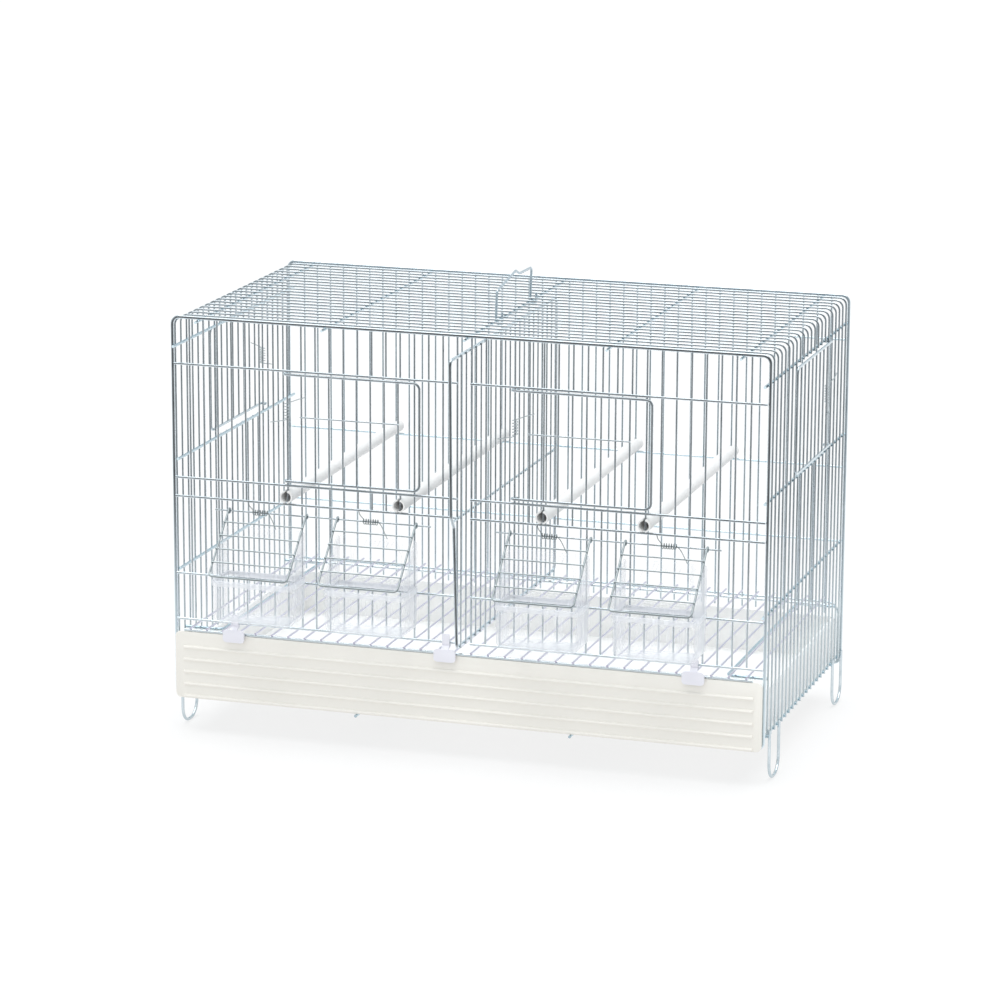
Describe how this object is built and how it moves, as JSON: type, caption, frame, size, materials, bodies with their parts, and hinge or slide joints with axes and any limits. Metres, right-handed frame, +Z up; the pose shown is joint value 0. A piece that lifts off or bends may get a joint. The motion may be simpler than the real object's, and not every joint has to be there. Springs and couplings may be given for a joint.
{
  "type": "bird cage",
  "caption": "Wire breeding cage for small birds with a slide-in divider, sprung doors, outside feeders, a pull-out tray under a wire floor, and a carry handle.",
  "frame": {"origin": "on the ground, at the middle of the footprint of the whole object, feeders and flaps included", "axes": "+Z up, +X to the right seen from the front, the front with the doors and feeders towards -Y"},
  "size_m": [0.588, 0.3746, 0.4397],
  "materials": {
    "zinc_wire": "bright zinc plating on drawn wire",
    "thin_zinc_wire": "bright zinc plating on thin drawn wire",
    "spring_steel": "plain spring wire",
    "ivory_plastic": "ivory moulded plastic, satin",
    "white_plastic": "milky white moulded plastic",
    "clear_plastic": "clear moulded plastic"
  },
  "bodies": {
    "cage": {"front_frame": "zinc_wire", "front_grille_left": "zinc_wire", "front_grille_right": "zinc_wire", "back_frame": "zinc_wire", "back_grille": "zinc_wire", "hood_grille": "zinc_wire", "foot_front_left": "zinc_wire", "foot_front_right": "zinc_wire", "foot_back_left": "zinc_wire", "foot_back_right": "zinc_wire", "base_tie_left": "zinc_wire", "base_tie_right": "zinc_wire", "grate_runner_left": "zinc_wire", "grate_runner_right": "zinc_wire", "feeder_hinge_rod_left": "thin_zinc_wire", "feeder_hinge_rod_right": "thin_zinc_wire", "perch_1": "white_plastic", "perch_2": "white_plastic", "perch_3": "white_plastic", "perch_4": "white_plastic"},
    "front_door_left": {"front_door_left": "zinc_wire", "front_door_spring_left": "spring_steel"},
    "front_door_right": {"front_door_right": "zinc_wire", "front_door_spring_right": "spring_steel"},
    "side_door_left": {"side_door_left": "zinc_wire", "side_door_spring_left": "spring_steel"},
    "side_door_right": {"side_door_right": "zinc_wire", "side_door_spring_right": "spring_steel"},
    "divider": {"divider": "zinc_wire"},
    "tray": {"tray": "ivory_plastic", "tray_clip_left": "white_plastic", "tray_clip_middle": "white_plastic", "tray_clip_right": "white_plastic"},
    "floor_grate": {"floor_grate": "thin_zinc_wire"},
    "carry_handle": {"carry_handle": "zinc_wire"},
    "feeder_cup_1": {"feeder_cup_1": "clear_plastic"},
    "feeder_flap_1": {"feeder_flap_1": "thin_zinc_wire", "feeder_spring_1": "spring_steel"},
    "feeder_cup_2": {"feeder_cup_2": "clear_plastic"},
    "feeder_flap_2": {"feeder_flap_2": "thin_zinc_wire", "feeder_spring_2": "spring_steel"},
    "feeder_cup_3": {"feeder_cup_3": "clear_plastic"},
    "feeder_flap_3": {"feeder_flap_3": "thin_zinc_wire", "feeder_spring_3": "spring_steel"},
    "feeder_cup_4": {"feeder_cup_4": "clear_plastic"},
    "feeder_flap_4": {"feeder_flap_4": "thin_zinc_wire", "feeder_spring_4": "spring_steel"}
  },
  "joints": [
    {"name": "front_door_left_hinge", "type": "hinge", "parent": "cage", "child": "front_door_left", "pos_m": [-0.175, -0.12874, 0.255], "axis": [0, 0, -1], "range_deg": [0, 100], "stiffness_Nm_per_rad": 0.02, "springref_deg": -20.05, "deforming": ["front_door_spring_left"]},
    {"name": "front_door_right_hinge", "type": "hinge", "parent": "cage", "child": "front_door_right", "pos_m": [0.049, -0.12874, 0.255], "axis": [0, 0, -1], "range_deg": [0, 100], "stiffness_Nm_per_rad": 0.02, "springref_deg": -20.05, "deforming": ["front_door_spring_right"]},
    {"name": "side_door_left_hinge", "type": "hinge", "parent": "cage", "child": "side_door_left", "pos_m": [-0.289, 0.10326, 0.274], "axis": [0, 0, -1], "range_deg": [0, 100], "stiffness_Nm_per_rad": 0.02, "springref_deg": -20.05, "deforming": ["side_door_spring_left"]},
    {"name": "side_door_right_hinge", "type": "hinge", "parent": "cage", "child": "side_door_right", "pos_m": [0.289, 0.10326, 0.274], "axis": [0, 0, 1], "range_deg": [0, 100], "stiffness_Nm_per_rad": 0.02, "springref_deg": -20.05, "deforming": ["side_door_spring_right"]},
    {"name": "divider_slide", "type": "slide", "parent": "cage", "child": "divider", "axis": [0, -1, 0], "range_m": [0, 0.3]},
    {"name": "tray_slide", "type": "slide", "parent": "cage", "child": "tray", "axis": [0, -1, 0], "range_m": [0, 0.28]},
    {"name": "floor_grate_slide", "type": "slide", "parent": "cage", "child": "floor_grate", "axis": [0, -1, 0], "range_m": [0, 0.28]},
    {"name": "carry_handle_hinge", "type": "hinge", "parent": "cage", "child": "carry_handle", "pos_m": [0.0015, 0.02366, 0.40145], "axis": [0, 1, 0], "range_deg": [-72, 72]},
    {"name": "feeder_cup_1_slide", "type": "slide", "parent": "cage", "child": "feeder_cup_1", "axis": [0, -1, 0], "range_m": [0, 0.04]},
    {"name": "feeder_flap_1_hinge", "type": "hinge", "parent": "cage", "child": "feeder_flap_1", "pos_m": [-0.196, -0.13084, 0.222], "axis": [-1, 0, 0], "range_deg": [0, 50], "stiffness_Nm_per_rad": 0.01, "springref_deg": -20.05, "deforming": ["feeder_spring_1"]},
    {"name": "feeder_cup_2_slide", "type": "slide", "parent": "cage", "child": "feeder_cup_2", "axis": [0, -1, 0], "range_m": [0, 0.04]},
    {"name": "feeder_flap_2_hinge", "type": "hinge", "parent": "cage", "child": "feeder_flap_2", "pos_m": [-0.084, -0.13084, 0.222], "axis": [-1, 0, 0], "range_deg": [0, 50], "stiffness_Nm_per_rad": 0.01, "springref_deg": -20.05, "deforming": ["feeder_spring_2"]},
    {"name": "feeder_cup_3_slide", "type": "slide", "parent": "cage", "child": "feeder_cup_3", "axis": [0, -1, 0], "range_m": [0, 0.04]},
    {"name": "feeder_flap_3_hinge", "type": "hinge", "parent": "cage", "child": "feeder_flap_3", "pos_m": [0.084, -0.13084, 0.222], "axis": [-1, 0, 0], "range_deg": [0, 50], "stiffness_Nm_per_rad": 0.01, "springref_deg": -20.05, "deforming": ["feeder_spring_3"]},
    {"name": "feeder_cup_4_slide", "type": "slide", "parent": "cage", "child": "feeder_cup_4", "axis": [0, -1, 0], "range_m": [0, 0.04]},
    {"name": "feeder_flap_4_hinge", "type": "hinge", "parent": "cage", "child": "feeder_flap_4", "pos_m": [0.196, -0.13084, 0.222], "axis": [-1, 0, 0], "range_deg": [0, 50], "stiffness_Nm_per_rad": 0.01, "springref_deg": -20.05, "deforming": ["feeder_spring_4"]}
  ],
  "couplings": [
    {"joint": "floor_grate_slide", "follows": "tray_slide", "ratio": 1},
    {"joint": "feeder_flap_1_hinge", "follows": "feeder_cup_1_slide", "rad_per_m": 21.817},
    {"joint": "feeder_flap_2_hinge", "follows": "feeder_cup_2_slide", "rad_per_m": 21.817},
    {"joint": "feeder_flap_3_hinge", "follows": "feeder_cup_3_slide", "rad_per_m": 21.817},
    {"joint": "feeder_flap_4_hinge", "follows": "feeder_cup_4_slide", "rad_per_m": 21.817}
  ]
}
